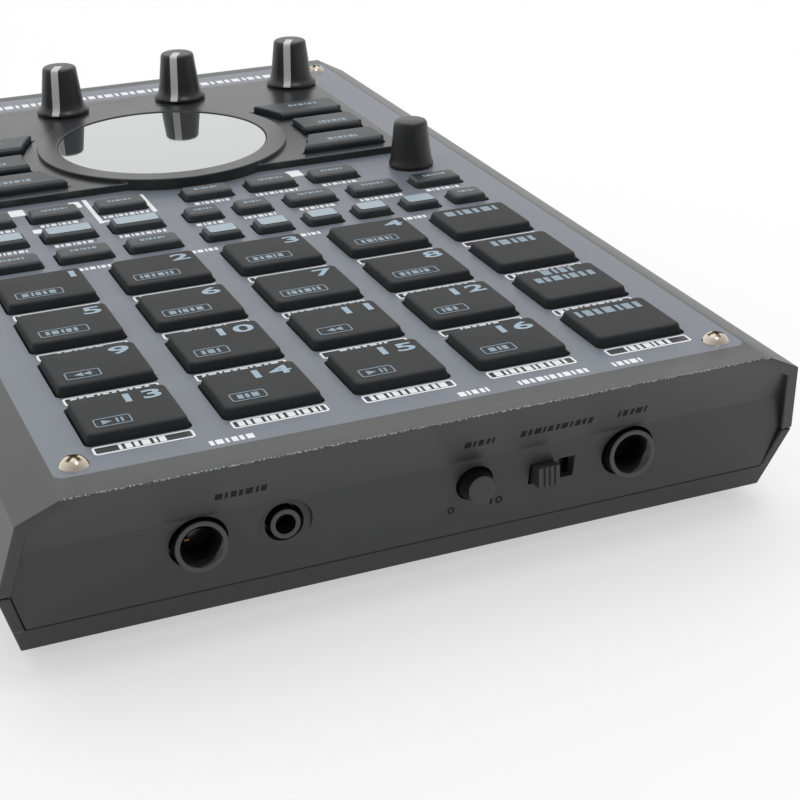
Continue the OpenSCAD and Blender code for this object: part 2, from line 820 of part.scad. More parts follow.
// Pad or key: cap, retaining flange under the panel, and contact stem
module plunger(w, d, r, h, taper) {
    flange_z = -panel_t - run_gap - flange_t;
    cap(w, d, r, flange_z, h, taper);
    translate([0, 0, flange_z]) linear_extrude(flange_t)
        round_rect(w + 2 * flange_w, d + 2 * flange_w, r + flange_w);
    translate([0, 0, stem_z]) cylinder(r = stem_r, h = flange_z - stem_z + flange_t / 2);
}

module pad(c, r) color("#45474a") on_panel(pad_x(c), pad_y(r))
    plunger(pad_w, pad_d, pad_r, pad_h, pad_taper);

module key_row(keys, r) color("#3c4145") for (k = keys) on_panel(k[0], key_y(r))
    plunger(k[1], key_d, key_r, key_h, pad_taper);

// Display deck

module deck_outline(grow = 0) {
    translate([0, deck_mid_y]) round_rect(deck_w + 2 * grow, deck_d + 2 * grow, deck_r);
}

// Outline of effect button n, one to six, grown by g: left side from front to rear, then right
function effect_side(n) = n <= 3 ? -1 : 1;
function effect_y(n) = effect_mid_y + ((n - 1) % 3 - 1) * effect_pitch;
module effect_outline(n, g) {
    s = effect_side(n);
    difference() {
        translate([s * (effect_x1 + g) / 2, effect_y(n)])
            round_rect(effect_x1 + g, effect_d + 2 * g, effect_r + g);
        translate([0, effect_mid_y]) circle(effect_arc_r - g);
    }
}

module display_bezel() color("#4a4b4d") on_panel() difference() {
    union() {
        linear_extrude(deck_h) deck_outline();
        translate([0, ring_y, 0]) cylinder(r = ring_r, h = ring_h, $fn = 96);
        translate([0, deck_mid_y, -panel_t]) linear_extrude(panel_t + deck_roof_in)
            round_rect(deck_in_w - 2 * panel_fit, deck_in_d - 2 * panel_fit, deck_r - deck_lip - panel_fit);
    }
    // Hollow under the roof, within the locating skirt
    translate([0, deck_mid_y, -panel_t - lap]) linear_extrude(panel_t + lap + deck_roof_in)
        round_rect(deck_in_w - 2 * deck_skirt, deck_in_d - 2 * deck_skirt, deck_r - deck_lip - deck_skirt);
    // Lens seat and the opening below it
    translate([0, ring_y, lens_z]) cylinder(r = lens_r + lens_fit, h = over, $fn = 96);
    translate([0, ring_y, -over]) cylinder(r = lens_r - lens_lip, h = 2 * over, $fn = 96);
    for (n = [1:6]) linear_extrude(over) effect_outline(n, run_gap);
    for (x = control_x) translate([x, knob_y, 0]) cylinder(r = bushing_r + bushing_fit, h = over);
}

module display_lens() color("#8d9499") on_panel(0, ring_y, lens_z)
    cylinder(r = lens_r, h = lens_t, $fn = 96);

module display_module() color("#1d2022") on_panel(-module_w / 2, ring_y - module_d / 2, board_z)
    cube([module_w, module_d, lens_z - board_z - module_gap]);

module effect_button(n) color("#414548") on_panel() {
    flange_z = deck_roof_in - run_gap - flange_t;
    top_z = deck_h + effect_h;
    difference() {
        translate([0, 0, flange_z]) linear_extrude(top_z - flange_z) effect_outline(n, 0);
        translate([effect_side(n) * effect_x1, effect_y(n) - effect_d / 2, top_z])
            rotate([45, 0, 0]) cube([far, effect_edge * sqrt(2), effect_edge * sqrt(2)], center = true);
    }
    translate([0, 0, flange_z]) linear_extrude(flange_t) effect_outline(n, effect_flange);
    translate([effect_side(n) * effect_stem_x, effect_y(n), stem_z])
        cylinder(r = stem_r, h = flange_z - stem_z + flange_t / 2);
}

// Knobs

// Control knob: skirt, tapered body with a rounded top edge, pointer groove and shaft
module control_knob(i) color("#1f2022") on_panel(control_x[i - 1], knob_y, deck_h + knob_gap) {
    pot_top = board_z + pot_h - deck_h - knob_gap;
    difference() {
        rotate_extrude() polygon([
            [0, 0], [knob_skirt_r, 0], [knob_skirt_r, knob_lip_h], [knob_base_r, knob_skirt_h],
            [knob_top_r, knob_h - knob_edge], [knob_top_r - knob_edge, knob_h], [0, knob_h]]);
        rotate(-pointer_rest) translate([0, -knob_base_r, 0]) {
            lean = atan((knob_base_r - knob_top_r) / (knob_h - knob_skirt_h));
            translate([0, 0, knob_skirt_h]) rotate([-lean, 0, 0])
                translate([-pointer_w / 2, -over, 0]) cube([pointer_w, over + pointer_t, knob_h]);
        }
        rotate(-pointer_rest) translate([-pointer_w / 2, -knob_top_r, knob_h - pointer_t])
            cube([pointer_w, knob_top_r, over]);
    }
    translate([0, 0, pot_top - shaft_in]) cylinder(r = shaft_r, h = shaft_in - pot_top + lap);
}

module value_knob() color("#1f2022") on_panel(value_x, value_y, knob_gap) {
    pot_top = board_z + pot_h - knob_gap;
    rotate_extrude() polygon([
        [0, 0], [value_base_r, 0], [value_base_r, knob_lip_h], [value_top_r, value_h - knob_edge],
        [value_top_r - knob_edge, value_h], [0, value_h]]);
    translate([0, 0, pot_top - shaft_in]) cylinder(r = shaft_r, h = shaft_in - pot_top + lap);
}

// Gain knob on the front face, its axis level, with the shaft that runs in its potentiometer
module gain_knob() color("#2a2b2d") to_front(gain_x, face_in_y(jack_z), jack_z) {
    end = wall_y + gain_out;
    shaft_l = body_gap + gain_shaft_in;
    rotate_extrude() polygon([
        [0, 0], [gain_base_r, 0], [gain_base_r, wall_y], [gain_end_r, end - gain_edge],
        [gain_end_r - gain_edge, end], [0, end]]);
    translate([0, 0, -shaft_l]) cylinder(r = gain_shaft_r, h = shaft_l + lap);
}

// Potentiometers on the boards: square body, bushing and the bore that the shaft turns in
module pot(w, h, r, bush_h, depth) difference() {
    union() {
        translate([-w / 2, -w / 2, 0]) cube([w, w, h]);
        cylinder(r = r + bushing_t, h = h + bush_h);
    }
    translate([0, 0, h - depth - end_gap]) cylinder(r = r + shaft_fit, h = over);
}

module control_pots() color("#7b7f83") {
    for (x = control_x) on_panel(x, knob_y, board_z)
        pot(pot_w, pot_h, shaft_r, deck_h - board_z - pot_h, shaft_in);
    on_panel(value_x, value_y, board_z) pot(pot_w, pot_h, shaft_r, -board_z - pot_h, shaft_in);
    to_front(gain_x, face_in_y(jack_z) + body_gap + gain_pot_l, jack_z)
        pot(2 * jack_axis_up, gain_pot_l, gain_shaft_r, 0, gain_shaft_in);
}

// Switches

// Slide switch on a board behind its slot, and the ribbed tab that stands out of it
module switch_body() translate([-switch_body_w / 2, -jack_axis_up, -switch_body_d])
    cube([switch_body_w, switch_body_h, switch_body_d]);

module slide_switches() color("#55585b") {
    to_front(switch_x, face_in_y(switch_z) + run_gap + body_gap, jack_z) switch_body();
    to_rear(power_x, rear_in_y(rear_z) - run_gap - body_gap, rear_z) rotate(180) switch_body();
}

module switch_tab(length) difference() {
    translate([-tab_w / 2, -tab_h / 2, 0]) cube([tab_w, tab_h, length]);
    for (i = [-1:1]) translate([i * tab_w / 4 - tab_rib_w / 2, -far / 2, length - tab_rib_t])
        cube([tab_rib_w, far, lap]);
}

module input_switch_tab() color("#4b4d4f")
    to_front(switch_x - tab_travel / 2, face_in_y(switch_z) + body_gap, switch_z)
        switch_tab(wall_y + tab_out + body_gap);

module power_switch_tab() color("#4b4d4f")
    to_rear(power_x + tab_travel / 2, rear_in_y(rear_z) - body_gap, rear_z)
        switch_tab(wall + tab_out + body_gap);

// Jacks and sockets

// Jack with its sleeve at the origin pointing along z, body behind, standing on a board
module jack(bore_r, sleeve_r, mouth_r, body_w, body_h, body_l, depth, sleeve_l) difference() {
    union() {
        translate([0, 0, -sleeve_l - lap]) cylinder(r = sleeve_r, h = sleeve_l + lap);
        translate([-body_w / 2, -jack_axis_up, -sleeve_l - body_l]) cube([body_w, body_h, body_l]);
    }
    translate([0, 0, -depth]) cylinder(r = bore_r, h = depth + lap);
    translate([0, 0, -jack_mouth_l]) cylinder(r1 = bore_r, r2 = mouth_r, h = jack_mouth_l);
    cylinder(r = mouth_r, h = lap);
}

module big_jack() {
    jack(jack_bore_r, jack_sleeve_r, jack_mouth_r, jack_body_w, jack_body_h, jack_body_l, jack_depth,
        wall_y + jack_out + body_gap);
}
module mini_jack() {
    jack(mini_bore_r, mini_sleeve_r, mini_mouth_r, mini_body_w, mini_body_h, mini_body_l, mini_depth,
        wall_y + body_gap);
}

module quarter_inch_jacks() color("#232425") {
    for (x = [phones_x, input_x]) to_front(x, face_y(jack_z) - jack_out, jack_z) big_jack();
    for (x = rear_jacks_x) to_rear(x, rear_face_y(rear_z) + jack_out, rear_z) mirror([0, 1, 0]) big_jack();
}

module mini_jacks() color("#232425") {
    to_front(phones_mini_x, face_y(jack_z), jack_z) mini_jack();
    for (x = rear_minis_x) to_rear(x, rear_face_y(rear_z), rear_z) mirror([0, 1, 0]) mini_jack();
}

module usb_socket() color("#9a9da0") to_rear(usb_x, rear_face_y(rear_z) - socket_sink, rear_z) {
    difference() {
        translate([0, 0, -usb_l]) linear_extrude(usb_l) round_rect(usb_w, usb_h, usb_corner_r);
        translate([0, 0, usb_back - usb_l]) linear_extrude(usb_l)
            round_rect(usb_w - 2 * usb_shell, usb_h - 2 * usb_shell, usb_corner_r - usb_shell);
    }
    translate([-usb_tongue_w / 2, -usb_tongue_t / 2, usb_back / 2 - usb_l])
        cube([usb_tongue_w, usb_tongue_t, usb_l - 2 * usb_back]);
    translate([-usb_w / 2, usb_h / 2 - usb_shell, -usb_l])
        cube([usb_w, jack_axis_up - usb_h / 2 + usb_shell, usb_foot_l]);
}

module dc_socket() color("#1d1e20") to_rear(dc_x, rear_face_y(rear_z) - socket_sink, rear_z) {
    difference() {
        union() {
            translate([0, 0, -dc_neck_l - lap]) cylinder(r = dc_r + dc_wall, h = dc_neck_l + lap);
            translate([-dc_w / 2, -dc_w / 2, -dc_l]) cube([dc_w, dc_w / 2 + jack_axis_up, dc_l - dc_neck_l]);
        }
        translate([0, 0, -dc_depth]) cylinder(r = dc_r, h = dc_depth + lap);
    }
    translate([0, 0, -dc_depth - end_gap]) cylinder(r = dc_pin_r, h = dc_depth - end_gap);
}

// Boards

module panel_board() color("#2f5d46") on_panel(0, 0, board_z - board_t) difference() {
    translate([-board_half, panel_y0 + 2 * board_edge, 0])
        cube([2 * board_half, panel_len - 4 * board_edge, board_t]);
    for (x = [-1, 1] * screw_x, y = [screw_y0, screw_y1])
        translate([x, y, -lap]) cylinder(r = screw_r + screw_fit, h = board_t + 2 * lap);
}

module front_board() color("#2f5d46")
    translate([-front_board_w / 2, front_board_y0, front_board_z - board_t])
        cube([front_board_w, front_board_d, board_t]);

module main_board() color("#2f5d46")
    translate([-main_board_w / 2, main_board_y1 - main_board_d, main_board_z - board_t])
        cube([main_board_w, main_board_d, board_t]);

// Underside

module feet() color("#1b1c1d") for (x = [-1, 1] * foot_x, y = [foot_y0, foot_y1]) translate([x, y, 0]) {
    rotate_extrude() polygon([
        [0, 0], [foot_r - foot_edge, 0], [foot_r, foot_edge], [foot_r, foot_h], [0, foot_h]]);
}

// Case screws, each long enough to grip the upper case at its place
function parting_z(y) = nose_z + (y - front_y) * tan(tilt) - parting_drop / cos(tilt);
module case_screws() color("#2c2d2f") for (x = [-1, 1] * case_screw_x, y = case_screws_y)
    translate([x, y, case_screw_seat_z]) rotate([180, 0, 0])
        pan_screw(case_screw_head_r, case_screw_head_h, screw_r,
            parting_z(y) + case_screw_grip - case_screw_seat_z);

// Door flush with the underside: a round front edge on pivot pins, and a grooved thumb grip behind
module battery_door() color("#3a3b3d") {
    difference() {
        translate([0, hinge_y, hinge_z]) along_x(door_w) {
            circle(hinge_r);
            translate([0, -hinge_r]) square([door_d - hinge_r, door_t]);
        }
        for (i = [-2:2])
            translate([0, bay_y + door_d / 2 - latch_inset + i * latch_pitch, under_z])
                cube([latch_w, latch_groove, latch_groove], center = true);
    }
    translate([0, hinge_y, hinge_z]) along_x(door_w + 2 * pin_l) circle(pin_r);
}

module battery_contacts() color("#b0b2b4") for (s = [-1, 1], i = [-1:1])
    translate([s * (bay_w - contact_t) / 2, bay_y + i * bay_d / 3, under_z + (bay_h + door_t) / 2])
        cube([contact_t, contact_w, contact_w], center = true);

// All nodes by name

upper_case();
lower_case();
top_panel();
display_bezel();
display_lens();
display_module();
for (r = [0:pad_rows - 1], c = [0:pad_cols - 2])
    pad(c, r);
for (r = [0:pad_rows - 1])
    pad(pad_cols - 1, r);
for (r = [1:key_rows]) key_row(left_keys(r), r);
for (r = [1:key_rows]) key_row(right_keys(r), r);
for (n = [1:6]) effect_button(n);
for (i = [1:4]) control_knob(i);
value_knob();
gain_knob();
input_switch_tab();
power_switch_tab();
battery_door();
panel_board();
front_board();
main_board();
control_pots();
slide_switches();
quarter_inch_jacks();
mini_jacks();
usb_socket();
dc_socket();
feet();
panel_screws();
case_screws();
battery_contacts();
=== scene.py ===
"""Audio sampler: materials, rounded pieces, print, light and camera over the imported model."""
import json
import math

import bmesh
import bpy
from mathutils import Matrix, Vector


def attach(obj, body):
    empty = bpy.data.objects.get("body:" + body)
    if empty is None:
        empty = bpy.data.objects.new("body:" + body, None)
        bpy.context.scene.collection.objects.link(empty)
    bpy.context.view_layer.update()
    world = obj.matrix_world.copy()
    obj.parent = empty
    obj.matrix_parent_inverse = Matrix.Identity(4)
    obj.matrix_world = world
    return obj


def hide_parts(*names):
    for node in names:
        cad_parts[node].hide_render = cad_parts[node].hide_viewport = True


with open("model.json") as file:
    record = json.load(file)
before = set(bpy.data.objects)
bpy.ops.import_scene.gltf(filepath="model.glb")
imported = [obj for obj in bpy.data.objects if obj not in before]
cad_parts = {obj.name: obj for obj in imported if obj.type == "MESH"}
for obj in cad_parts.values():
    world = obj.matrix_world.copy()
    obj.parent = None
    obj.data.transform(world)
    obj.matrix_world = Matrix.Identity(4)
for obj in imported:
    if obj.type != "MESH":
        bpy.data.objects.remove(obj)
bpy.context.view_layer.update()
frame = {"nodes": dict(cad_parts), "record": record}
scene = bpy.context.scene
MM = 0.001

# Sizes in millimetres, as in the part's source
TILT = math.radians(3.4)
NOSE_Z = 40.4
PAD_W, PAD_D, PAD_H, PAD_R = 21.0, 18.4, 2.2, 1.5
COL, ROW = 27.86, 24.14
PAD_Y0 = 19.2
KEY_W, KEY_NARROW, KEY_D, KEY_H, KEY_R = 13.5, 9.5, 7.8, 2.0, 1.2
KEY_GAP, KEY_PITCH = 7.3, 16.0
KEYS_Y0 = PAD_Y0 + 3 * ROW + PAD_D + KEY_GAP
DECK_GAP, DECK_D, DECK_H, EFFECT_H = 8.6, 82.7, 2.0, 2.0
DECK_Y1 = KEYS_Y0 + 2 * KEY_PITCH + KEY_D + DECK_GAP + DECK_D
REAR_BAND, REAR_STRIP = 19.0, 5.0
PANEL_HALF, PANEL_Y0, PANEL_Y1 = 74.9, 8.3, DECK_Y1 + REAR_BAND
TOP_LEN = PANEL_Y1 + REAR_STRIP
FRONT_Y = -TOP_LEN * math.cos(TILT) / 2
TAIL_Z = NOSE_Z + TOP_LEN * math.sin(TILT)
KNOB_INSET, KNOB_PITCH = 7.7, 36.8
KNOB_Y = DECK_Y1 - KNOB_INSET
KNOB_X = [(i - 1.5) * KNOB_PITCH for i in range(4)]
GRID_HALF = 2 * COL + PAD_W / 2
EDGE_INSET, VALUE_INSET = 0.3, 7.1
RIGHT_EDGE = GRID_HALF - EDGE_INSET
VALUE_X = GRID_HALF - VALUE_INSET
VALUE_Y = KEYS_Y0 + 2 * KEY_PITCH + KEY_D / 2
JACK_Z, REAR_Z = 21.2, 24.0
FRONT_LEAN, REAR_LEAN = math.tan(math.radians(22.3)), math.tan(math.radians(8))
REAR_RECESS = 2.0
REAR_FACE_Y = -FRONT_Y - (TAIL_Z - REAR_Z) * REAR_LEAN - REAR_RECESS

# Points of the front face as (y, z): just below the front edge, at the crease and at the foot
FACE_DROP, CREASE_DROP, CREASE_RECESS, FOOT_Z, WALL_T = 0.6, 13, 2.6, 8.8, 2.5
FACE_TOP = (FRONT_Y + FACE_DROP * FRONT_LEAN, NOSE_Z - FACE_DROP)
FACE_CREASE = (FRONT_Y + CREASE_DROP * FRONT_LEAN + CREASE_RECESS, NOSE_Z - CREASE_DROP)
FACE_FOOT = (FRONT_Y + (NOSE_Z - FOOT_Z) * FRONT_LEAN, FOOT_Z)
FACE_SLOPE = (FACE_FOOT[0] - FACE_CREASE[0]) / (FACE_CREASE[1] - FACE_FOOT[1])
WALL_Y = WALL_T / math.cos(math.atan(FACE_SLOPE))

# Corners of the rim round the front face in the CAD as (x, z), and the depth between its two layers
RIM_TOP, RIM_SHOULDER, RIM_SPLIT = (75.081, 37.86), (82.246, 34.252), 3.2
RIM_SPLIT_Y = FRONT_Y + RIM_SPLIT

PANEL = Matrix.Translation((0, FRONT_Y, NOSE_Z)) @ Matrix.Rotation(TILT, 4, "X")
PANEL_INVERSE = PANEL.inverted()


def face_y(z):
    """Depth of the front face's lower plane at height z."""
    return FACE_CREASE[0] + (FACE_CREASE[1] - z) * FACE_SLOPE


# Camera

cam = bpy.data.objects.new("camera", bpy.data.cameras.new("camera"))
cam.data.lens = 80.8
cam.data.sensor_width = 36
cam.data.clip_start = 0.01
cam.location = (-0.12867, -0.43389, 0.17799)
cam.rotation_euler = [math.radians(a) for a in (67.803, 2.183, -22.824)]
scene.collection.objects.link(cam)
scene.camera = cam
scene.view_settings.view_transform = "Standard"


# Materials

BUMP_DEPTH = 0.0002


def surface(name, colour, rough, vary=0.12, grain=2200, bump=0.06, blotch=60, metallic=0.0,
            ior=1.5, spec=0.5, coat=0.0, coat_rough=0.1, rough_vary=0.06, wear_and_highlight=None):
    """Procedural finish: blotched colour, grained bump and uneven roughness."""
    mat = bpy.data.materials.new(name)
    mat.use_nodes = True
    nodes, links = mat.node_tree.nodes, mat.node_tree.links
    bsdf = nodes["Principled BSDF"]
    bsdf.inputs["Metallic"].default_value = metallic
    bsdf.inputs["IOR"].default_value = ior
    bsdf.inputs["Specular IOR Level"].default_value = spec
    bsdf.inputs["Coat Weight"].default_value = coat
    bsdf.inputs["Coat Roughness"].default_value = coat_rough
    where = nodes.new("ShaderNodeTexCoord")
    broad = nodes.new("ShaderNodeTexNoise")
    broad.inputs["Scale"].default_value = blotch
    broad.inputs["Detail"].default_value = 4
    fine = nodes.new("ShaderNodeTexNoise")
    fine.inputs["Scale"].default_value = grain
    fine.inputs["Detail"].default_value = 2
    for n in (broad, fine):
        links.new(where.outputs["Object"], n.inputs["Vector"])
    tone = nodes.new("ShaderNodeMix")
    tone.data_type = "RGBA"
    tone.inputs["A"].default_value = (*[c * (1 - vary) for c in colour], 1)
    tone.inputs["B"].default_value = (*[min(c * (1 + vary), 1) for c in colour], 1)
    links.new(broad.outputs["Fac"], tone.inputs["Factor"])
    out = tone.outputs["Result"]
    # Optional fine specks along an edge, laid over the colour: rubbed wear and a painted highlight.
    if wear_and_highlight:
        out = wear_and_highlight(nodes, links, where, out)
    links.new(out, bsdf.inputs["Base Color"])
    spread = nodes.new("ShaderNodeMapRange")
    spread.inputs["To Min"].default_value = max(rough - rough_vary, 0.02)
    spread.inputs["To Max"].default_value = min(rough + rough_vary, 1)
    links.new(broad.outputs["Fac"], spread.inputs["Value"])
    links.new(spread.outputs["Result"], bsdf.inputs["Roughness"])
    relief = nodes.new("ShaderNodeBump")
    relief.inputs["Strength"].default_value = bump
    relief.inputs["Distance"].default_value = BUMP_DEPTH
    links.new(fine.outputs["Fac"], relief.inputs["Height"])
    links.new(relief.outputs["Normal"], bsdf.inputs["Normal"])
    return mat


def maths(nodes, links, op, a, b=0.0):
    """Math node whose inputs are sockets or numbers."""
    n = nodes.new("ShaderNodeMath")
    n.operation = op
    for i, v in enumerate((a, b)):
        if isinstance(v, (int, float)):
            n.inputs[i].default_value = v
        else:
            links.new(v, n.inputs[i])
    return n.outputs[0]


def wear_and_highlight_specks(y, z, reach, tint, low):
    """Fine specks of a grey tint along a cross-wise edge at the depth y and height z: rubbed wear,
    and a painted highlight where the edge catches light.
    """
    speck_scale, speck_edge = 2600, 0.13

    def wear_and_highlight(nodes, links, where, base):
        split = nodes.new("ShaderNodeSeparateXYZ")
        links.new(where.outputs["Object"], split.inputs[0])
        dy = maths(nodes, links, "SUBTRACT", split.outputs["Y"], y * MM)
        dz = maths(nodes, links, "SUBTRACT", split.outputs["Z"], z * MM)
        yy = maths(nodes, links, "MULTIPLY", dy, dy)
        zz = maths(nodes, links, "MULTIPLY", dz, dz)
        away = maths(nodes, links, "SQRT", maths(nodes, links, "ADD", yy, zz))
        near = nodes.new("ShaderNodeMapRange")
        near.inputs["From Min"].default_value = reach * MM
        near.inputs["From Max"].default_value = 0.5 * reach * MM
        links.new(away, near.inputs["Value"])
        specks = nodes.new("ShaderNodeTexNoise")
        specks.inputs["Scale"].default_value = speck_scale
        specks.inputs["Detail"].default_value = 4
        links.new(where.outputs["Object"], specks.inputs["Vector"])
        cut = nodes.new("ShaderNodeMapRange")
        cut.inputs["From Min"].default_value = low
        cut.inputs["From Max"].default_value = low + speck_edge
        links.new(specks.outputs["Fac"], cut.inputs["Value"])
        mix = nodes.new("ShaderNodeMix")
        mix.data_type = "RGBA"
        mix.inputs["B"].default_value = (tint, tint, tint, 1)
        amount = maths(nodes, links, "MULTIPLY", near.outputs["Result"], cut.outputs["Result"])
        links.new(amount, mix.inputs["Factor"])
        links.new(base, mix.inputs["A"])
        return mix.outputs["Result"]
    return wear_and_highlight


# Light specks along the front edge: partly rubbed wear, partly a painted highlight where the edge
# catches light.
nose_wear_and_highlight = wear_and_highlight_specks(FRONT_Y + 0.12, NOSE_Z - 0.08, reach=0.3, tint=0.5, low=0.47)
# Faint light specks on the top edge of the lower band: a painted highlight where that edge catches
# light.
band_highlight = wear_and_highlight_specks(FACE_FOOT[0] + 0.05, FACE_FOOT[1] - 0.2, reach=0.3, tint=0.16, low=0.4)
CASE = surface("case_plastic", (0.048, 0.0488, 0.051), 0.42, grain=1800, bump=0.12, wear_and_highlight=nose_wear_and_highlight)
BASE = surface("case_base_plastic", (0.036, 0.0366, 0.0382), 0.45, grain=1800, bump=0.12,
               wear_and_highlight=band_highlight)
METAL = surface("panel_paint", (0.15, 0.168, 0.2), 0.4, vary=0.05, grain=2600, bump=0.05, blotch=25)
BEZEL = surface("bezel_plastic", (0.022, 0.0228, 0.0245), 0.3, grain=2400, bump=0.05)
PAD = surface("pad_rubber", (0.012, 0.0126, 0.0142), 0.6, vary=0.08, grain=3000, bump=0.1,
              spec=0.34)
KEY = surface("key_plastic", (0.012, 0.0145, 0.018), 0.42, grain=2600, bump=0.05)
KNOB = surface("knob_plastic", (0.008, 0.008, 0.009), 0.38, grain=2600, bump=0.08)
LINE = surface("knob_line", (0.6, 0.59, 0.57), 0.5, vary=0.05, grain=1500, bump=0.03)
INK = surface("white_print", (0.82, 0.83, 0.86), 0.5, vary=0.04, grain=4000, bump=0.02)
FIELD = surface("dark_print", (0.022, 0.023, 0.027), 0.5, vary=0.06, grain=4000, bump=0.02)
PALE = surface("pale_print", (0.22, 0.3, 0.36), 0.5, vary=0.06, grain=4000, bump=0.02)
DIGIT = surface("digit_print", (0.3, 0.4, 0.48), 0.5, vary=0.06, grain=4000, bump=0.02)
MILK = surface("pale_key_window", (0.3, 0.38, 0.43), 0.35, vary=0.08, grain=3000, bump=0.03)
GLASS = surface("display_glass", (0.05, 0.055, 0.06), 0.04, vary=0.1, grain=300, bump=0.0,
                ior=4.0, coat=1.0, coat_rough=0.02, rough_vary=0.01)
GLOSS = surface("socket_plastic", (0.01, 0.01, 0.011), 0.12, grain=900, bump=0.02, coat=0.3)
SLEEVE = surface("sleeve_plastic", (0.085, 0.086, 0.089), 0.4, grain=1800, bump=0.06)
DARK = surface("hollow_black", (0.003, 0.003, 0.003), 0.6, grain=900, bump=0.03, spec=0.2)
BOARD = surface("circuit_board", (0.02, 0.09, 0.045), 0.4, vary=0.3, grain=700, bump=0.1)
STEEL = surface("plated_steel", (0.55, 0.56, 0.57), 0.28, grain=1500, bump=0.05, metallic=1.0)
NICKEL = surface("warm_nickel", (0.55, 0.49, 0.41), 0.13, grain=900, bump=0.04, metallic=1.0)
ZINC = surface("black_zinc", (0.06, 0.06, 0.065), 0.35, grain=1500, bump=0.05, metallic=1.0)
SPRING = surface("contact_bronze", (0.2, 0.1, 0.04), 0.3, grain=900, bump=0.04, metallic=1.0)
RUBBER = surface("foot_rubber", (0.014, 0.014, 0.014), 0.75, grain=1500, bump=0.2)
TAB = surface("switch_tab_plastic", (0.06, 0.061, 0.063), 0.45, grain=2600, bump=0.06)


# Mesh building

SHARP = math.radians(35)
FOOT = -1.6
TURN_STEPS, CORNER_STEPS, EDGE_STEPS, CROWN_STEPS = 64, 6, 6, (0.12, 0.3, 0.55)
PRINT_UP, PRINT_SINK = 0.012, 0.05


class Shape:
    """Collects faces in millimetres, with a place and a material for each group."""

    def __init__(self):
        self.verts, self.faces, self.marks, self.mats = [], [], [], []

    def add(self, verts, faces, mat, place):
        """Adds faces of one material at a place."""
        if mat not in self.mats:
            self.mats.append(mat)
        k, m = len(self.verts), self.mats.index(mat)
        self.verts += [place @ Vector(v) for v in verts]
        self.faces += [[i + k for i in f] for f in faces]
        self.marks += [m] * len(faces)

    def build(self, name, body, nodes=()):
        """Makes the object, which rides a body and stands for the CAD nodes that are named."""
        mesh = bpy.data.meshes.new(name)
        mesh.from_pydata([v * MM for v in self.verts], [], self.faces)
        for m in self.mats:
            mesh.materials.append(m)
        mesh.polygons.foreach_set("material_index", self.marks)
        mesh.shade_smooth()
        mesh.set_sharp_from_angle(angle=SHARP)
        obj = bpy.data.objects.new(name, mesh)
        scene.collection.objects.link(obj)
        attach(obj, body)
        if nodes:
            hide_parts(*nodes)


def rounded(w, d, r):
    """Outline of a rectangle with round corners, counterclockwise."""
    pts = []
    for sx, sy, a0 in ((1, 1, 0), (-1, 1, 90), (-1, -1, 180), (1, -1, 270)):
        for i in range(CORNER_STEPS + 1):
            a = math.radians(a0 + 90 * i / CORNER_STEPS)
            pts.append((sx * (w / 2 - r) + r * math.cos(a), sy * (d / 2 - r) + r * math.sin(a)))
    return pts


def level(pts, z):
    """Ring of an outline's points at a height."""
    return [(x, y, z) for x, y in pts]


def loft(rings, foot=True, top=True, peak=None):
    """Skin through rings of equal count, with a flat foot and a flat or pointed top where asked."""
    n = len(rings[0])
    verts = [p for ring in rings for p in ring]
    faces = [list(range(n))[::-1]] if foot else []
    for k in range(len(rings) - 1):
        for i in range(n):
            j = (i + 1) % n
            faces.append([k * n + i, k * n + j, (k + 1) * n + j, (k + 1) * n + i])
    last = (len(rings) - 1) * n
    if peak:
        verts.append(peak)
        faces += [[last + i, last + (i + 1) % n, len(verts) - 1] for i in range(n)]
    elif top:
        faces.append([last + i for i in range(n)])
    return verts, faces


def cushion(w, d, r, height, taper, edge, crown):
    """Pad or key: tapered sides, rounded upper edge and a slightly crowned top."""
    least_r = 0.3

    def ring(inset, z):
        return level(rounded(w - 2 * inset, d - 2 * inset, max(r - 0.5 * inset, least_r)), z)
    rings = [ring(0, FOOT), ring(0, 0)]
    for i in range(EDGE_STEPS + 1):
        a = math.radians(90 * i / EDGE_STEPS)
        inset = taper + edge * (1 - math.cos(a))
        rings.append(ring(inset, height - crown - edge + edge * math.sin(a)))
    for s in CROWN_STEPS:
        rings.append(ring(taper + edge + s * min(w, d) / 2, height - crown * (1 - s) ** 2))
    return loft(rings, peak=(0, 0, height))


def lathe(profile, foot=True, top=True):
    """Turned skin from (radius, height) points, listed from the foot up."""
    turns = [2 * math.pi * i / TURN_STEPS for i in range(TURN_STEPS)]
    rings = [[(r * math.cos(a), r * math.sin(a), z) for a in turns] for r, z in profile]
    return loft(rings, foot, top)


def block(x0, x1, y0, y1, z0, z1):
    """Box between two corners."""
    verts = [(x, y, z) for z in (z0, z1) for x, y in ((x0, y0), (x1, y0), (x1, y1), (x0, y1))]
    return loft([verts[:4], verts[4:]])


def shift(x, y, z=0.0):
    """Move that is added to a place."""
    return Matrix.Translation((x, y, z))


def at(x, y, z=0.0, turn=0.0):
    """Place in the panel's frame."""
    return PANEL @ shift(x, y, z) @ Matrix.Rotation(turn, 4, "Z")


def facing_front(x, y, z):
    """Place whose z points out of the front, with y up."""
    return shift(x, y, z) @ Matrix.Rotation(math.pi / 2, 4, "X")


def facing_rear(x, y, z):
    """Place whose z points out of the rear, with y up."""
    turn = Matrix.Rotation(math.pi, 4, "Z") @ Matrix.Rotation(math.pi / 2, 4, "X")
    return shift(x, y, z) @ turn


def on_face(x, z, low, high):
    """Place on a plane of the front face that runs from the point low up to the point high."""
    up = Vector((0, high[0] - low[0], high[1] - low[1])).normalized()
    right = Vector((1, 0, 0))
    out = right.cross(up)
    y = low[0] + (z - low[1]) * (high[0] - low[0]) / (high[1] - low[1])
    turn = Matrix((right, up, out)).transposed().to_4x4()
    return shift(x, y, z) @ turn @ shift(0, 0, PRINT_UP)


# Print, as thin closed slabs that are sunk a little into the surface


